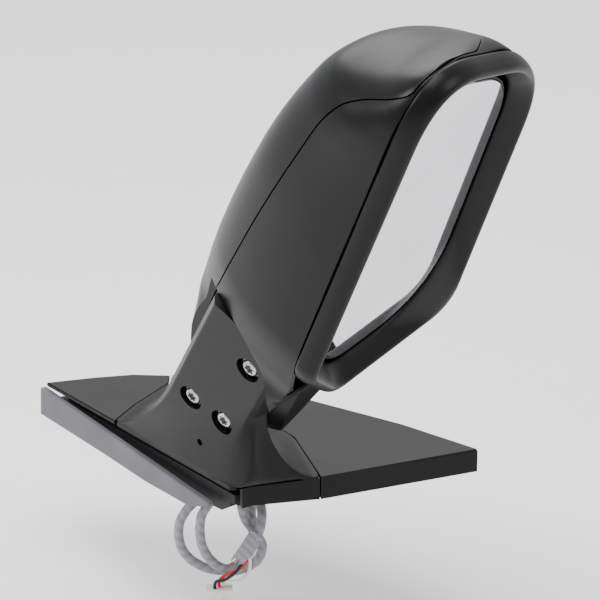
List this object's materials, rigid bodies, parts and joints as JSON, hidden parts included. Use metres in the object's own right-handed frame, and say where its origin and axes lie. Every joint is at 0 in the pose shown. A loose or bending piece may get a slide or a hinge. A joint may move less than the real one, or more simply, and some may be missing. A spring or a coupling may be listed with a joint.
{
  "type": "car side mirror",
  "caption": "Power door mirror: triangular base with a bolted arm, folding head, heated glass on a two-axis actuator, and a taped harness.",
  "frame": {"origin": "on the door face (the gasket's sealing side), under the foot of the arm", "axes": "+Z out of the door, +X to the rear of the car, +Y up the car"},
  "size_m": [0.3494, 0.1709, 0.373],
  "materials": {
    "black_plastic": "moulded, fine grain",
    "cap_plastic": "moulded, satin",
    "inner_plastic": "glass-filled, matt",
    "black_rubber": "matt",
    "seal_rubber": "matt",
    "cast_aluminium": "die-cast",
    "zinc_steel": "zinc plated",
    "spring_steel": "oiled",
    "nylon": "natural",
    "brass": "machined",
    "mirror_glass": "chromed back",
    "heater_film": "printed film",
    "cloth_tape": "woven tape",
    "wire_red": "PVC",
    "wire_black": "PVC",
    "wire_white": "PVC",
    "plug_plastic": "moulded"
  },
  "bodies": {
    "base": {"base_gasket": "black_rubber", "base_casting": "cast_aluminium", "foot_cover": "black_plastic", "sail_panel_front": "black_plastic", "sail_panel_rear": "black_plastic", "belt_seal_strip": "seal_rubber", "cable_grommet": "black_rubber", "locating_pin": "zinc_steel", "door_stud_1": "zinc_steel", "door_stud_2": "zinc_steel", "door_stud_3": "zinc_steel", "arm_bolt_1": "zinc_steel", "arm_bolt_2": "zinc_steel", "arm_bolt_3": "zinc_steel", "harness_cord": "cloth_tape", "wire_red": "wire_red", "wire_black": "wire_black", "wire_white": "wire_white", "harness_plug": "plug_plastic", "pivot_post": "zinc_steel", "detent_ring_fixed": "zinc_steel", "fold_spring": "spring_steel", "spring_retainer": "zinc_steel"},
    "head": {"cap_shell": "cap_plastic", "housing_shell": "black_plastic", "bezel_frame": "black_plastic", "head_frame": "inner_plastic", "detent_ring_moving": "zinc_steel", "ball_post": "nylon", "actuator_case": "inner_plastic", "actuator_cover": "inner_plastic", "worm_1": "brass", "worm_2": "brass", "motor_1": "zinc_steel", "motor_2": "zinc_steel", "actuator_screw_1": "zinc_steel", "actuator_screw_2": "zinc_steel", "actuator_screw_3": "zinc_steel"},
    "tilt": {"tilt_ring": "nylon"},
    "glass": {"mirror_glass": "mirror_glass", "heater_pad": "heater_film", "glass_holder": "inner_plastic"},
    "jack_1": {"jack_screw_1": "nylon"},
    "jack_2": {"jack_screw_2": "nylon"},
    "wheel_1": {"drive_wheel_1": "nylon"},
    "wheel_2": {"drive_wheel_2": "nylon"}
  },
  "joints": [
    {"name": "head_fold", "type": "hinge", "parent": "base", "child": "head", "pos_m": [0.041, -0.05202, 0.09395], "axis": [0, 0.9563, 0.2924], "range_deg": [-40, 55]},
    {"name": "glass_tilt_vertical", "type": "hinge", "parent": "head", "child": "tilt", "pos_m": [0.13962, -0.01211, 0.20034], "axis": [0.4702, -0.1217, 0.8741], "range_deg": [-5.8, 5.8]},
    {"name": "glass_tilt_horizontal", "type": "hinge", "parent": "tilt", "child": "glass", "pos_m": [0.13962, -0.01211, 0.20034], "axis": [-0.0661, 0.9828, 0.1724], "range_deg": [-5.8, 5.8]},
    {"name": "jack_slide_1", "type": "slide", "parent": "head", "child": "jack_1", "axis": [0.8801, 0.1388, -0.4541], "range_m": [-0.003, 0.003]},
    {"name": "jack_slide_2", "type": "slide", "parent": "head", "child": "jack_2", "axis": [0.8801, 0.1388, -0.4541], "range_m": [-0.003, 0.003]},
    {"name": "wheel_turn_1", "type": "hinge", "parent": "head", "child": "wheel_1", "pos_m": [0.15279, -0.01552, 0.22481], "axis": [0.8801, 0.1388, -0.4541], "range_deg": [-135, 135]},
    {"name": "wheel_turn_2", "type": "hinge", "parent": "head", "child": "wheel_2", "pos_m": [0.14147, -0.03963, 0.19551], "axis": [0.8801, 0.1388, -0.4541], "range_deg": [-135, 135]}
  ],
  "couplings": [
    {"joint": "jack_slide_1", "follows": "glass_tilt_horizontal", "m_per_rad": 0.028},
    {"joint": "jack_slide_2", "follows": "glass_tilt_vertical", "m_per_rad": 0.028},
    {"joint": "wheel_turn_1", "follows": "glass_tilt_horizontal", "ratio": 22},
    {"joint": "wheel_turn_2", "follows": "glass_tilt_vertical", "ratio": 22}
  ]
}
